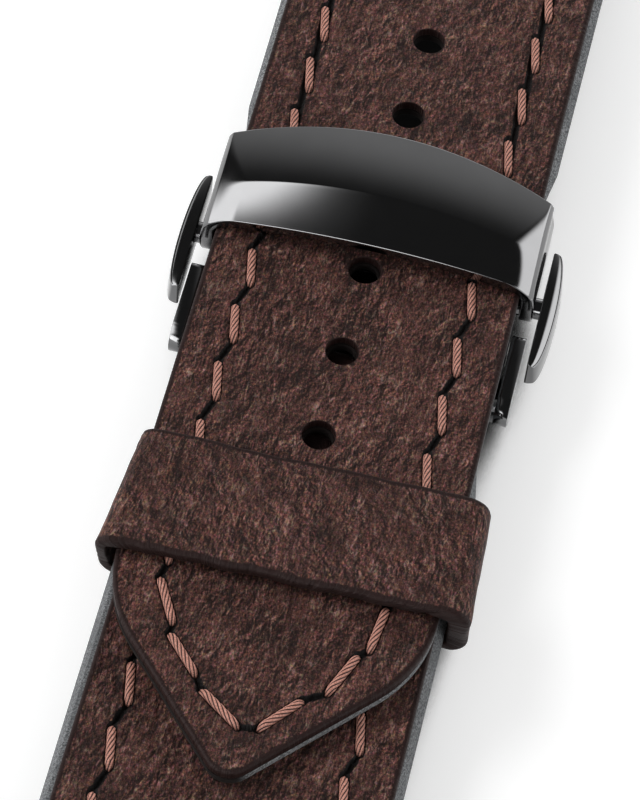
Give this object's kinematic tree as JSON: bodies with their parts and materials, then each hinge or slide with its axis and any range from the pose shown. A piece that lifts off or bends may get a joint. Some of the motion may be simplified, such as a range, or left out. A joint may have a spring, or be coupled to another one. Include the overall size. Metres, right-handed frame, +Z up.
{
  "type": "leather watch strap",
  "caption": "Two-piece padded brown leather watch strap with a black folding push-button clasp, holed tail with pointed tip, leather keeper and sprung lug bars.",
  "frame": {"origin": "on the table under the middle of the closed strap, halfway between its two lug ends", "axes": "+Y along the strap towards the holed half's lug end, +Z up out of the leather's outer side, +X to the right seen from the short half"},
  "size_m": [0.0252, 0.1596, 0.0123],
  "materials": {
    "outer_leather": "waxed, mottled, fine wrinkled grain",
    "lining_leather": "matt, suede-like",
    "padding": "felt",
    "thread": "twisted waxed thread",
    "black_steel": "polished black coating",
    "bar_steel": "satin",
    "spring_steel": "drawn wire"
  },
  "bodies": {
    "long_strap": {"long_outer": "outer_leather", "long_lining": "lining_leather", "long_padding": "padding", "long_stitching": "thread", "tail_outer": "outer_leather", "tail_lining": "lining_leather", "tail_stitching": "thread", "buckle_cover": "black_steel", "latch_housing": "black_steel", "strap_post": "black_steel", "buckle_hinge_pin": "black_steel", "button_spring": "spring_steel", "long_bar_tube": "bar_steel", "long_bar_spring": "spring_steel"},
    "lower_blade": {"lower_blade": "black_steel", "fold_hinge_pin": "black_steel"},
    "upper_blade": {"upper_blade": "black_steel", "clasp_bar_tube": "bar_steel", "clasp_bar_spring": "spring_steel"},
    "short_strap": {"short_outer": "outer_leather", "short_lining": "lining_leather", "short_padding": "padding", "short_stitching": "thread", "short_bar_tube": "bar_steel", "short_bar_spring": "spring_steel"},
    "keeper": {"keeper_loop": "outer_leather", "keeper_staple": "black_steel"},
    "push_button_left": {"push_button_left": "black_steel", "button_rod_left": "black_steel", "latch_hook_left": "black_steel"},
    "push_button_right": {"push_button_right": "black_steel", "button_rod_right": "black_steel", "latch_hook_right": "black_steel"},
    "clasp_bar_tip_left": {"clasp_bar_tip_left": "bar_steel"},
    "clasp_bar_tip_right": {"clasp_bar_tip_right": "bar_steel"},
    "long_bar_tip_left": {"long_bar_tip_left": "bar_steel"},
    "long_bar_tip_right": {"long_bar_tip_right": "bar_steel"},
    "short_bar_tip_left": {"short_bar_tip_left": "bar_steel"},
    "short_bar_tip_right": {"short_bar_tip_right": "bar_steel"}
  },
  "joints": [
    {"name": "buckle_hinge", "type": "hinge", "parent": "long_strap", "child": "lower_blade", "pos_m": [0, 0.0073, 0.0011], "axis": [1, 0, 0], "range_deg": [0, 75], "deforming": ["tail_outer", "tail_lining", "tail_stitching"]},
    {"name": "fold_hinge", "type": "hinge", "parent": "lower_blade", "child": "upper_blade", "pos_m": [0, -0.0282, 0.0011], "axis": [1, 0, 0], "range_deg": [0, 165], "deforming": ["tail_outer", "tail_lining", "tail_stitching"]},
    {"name": "short_strap_pivot", "type": "hinge", "parent": "upper_blade", "child": "short_strap", "pos_m": [0, -0.0098, 0.00585], "axis": [-1, 0, 0], "range_deg": [0, 100], "deforming": ["tail_outer", "tail_lining", "tail_stitching"]},
    {"name": "keeper_slide", "type": "slide", "parent": "short_strap", "child": "keeper", "axis": [0, -1, 0], "range_m": [-0.003, 0.0185]},
    {"name": "push_button_left", "type": "slide", "parent": "long_strap", "child": "push_button_left", "axis": [1, 0, 0], "range_m": [0, 0.00035], "stiffness_N_per_m": 500, "springref_m": -0.001, "deforming": ["button_spring"]},
    {"name": "push_button_right", "type": "slide", "parent": "long_strap", "child": "push_button_right", "axis": [-1, 0, 0], "range_m": [0, 0.00035], "stiffness_N_per_m": 500, "springref_m": -0.001, "deforming": ["button_spring"]},
    {"name": "clasp_bar_tip_left", "type": "slide", "parent": "upper_blade", "child": "clasp_bar_tip_left", "axis": [1, 0, 0], "range_m": [0, 0.0009], "stiffness_N_per_m": 500, "springref_m": -0.001, "deforming": ["clasp_bar_spring"]},
    {"name": "clasp_bar_tip_right", "type": "slide", "parent": "upper_blade", "child": "clasp_bar_tip_right", "axis": [-1, 0, 0], "range_m": [0, 0.0009], "stiffness_N_per_m": 500, "springref_m": -0.001, "deforming": ["clasp_bar_spring"]},
    {"name": "long_bar_tip_left", "type": "slide", "parent": "long_strap", "child": "long_bar_tip_left", "axis": [1, 0, 0], "range_m": [0, 0.001], "stiffness_N_per_m": 500, "springref_m": -0.001, "deforming": ["long_bar_spring"]},
    {"name": "long_bar_tip_right", "type": "slide", "parent": "long_strap", "child": "long_bar_tip_right", "axis": [-1, 0, 0], "range_m": [0, 0.001], "stiffness_N_per_m": 500, "springref_m": -0.001, "deforming": ["long_bar_spring"]},
    {"name": "short_bar_tip_left", "type": "slide", "parent": "short_strap", "child": "short_bar_tip_left", "axis": [1, 0, 0], "range_m": [0, 0.001], "stiffness_N_per_m": 500, "springref_m": -0.001, "deforming": ["short_bar_spring"]},
    {"name": "short_bar_tip_right", "type": "slide", "parent": "short_strap", "child": "short_bar_tip_right", "axis": [-1, 0, 0], "range_m": [0, 0.001], "stiffness_N_per_m": 500, "springref_m": -0.001, "deforming": ["short_bar_spring"]}
  ]
}
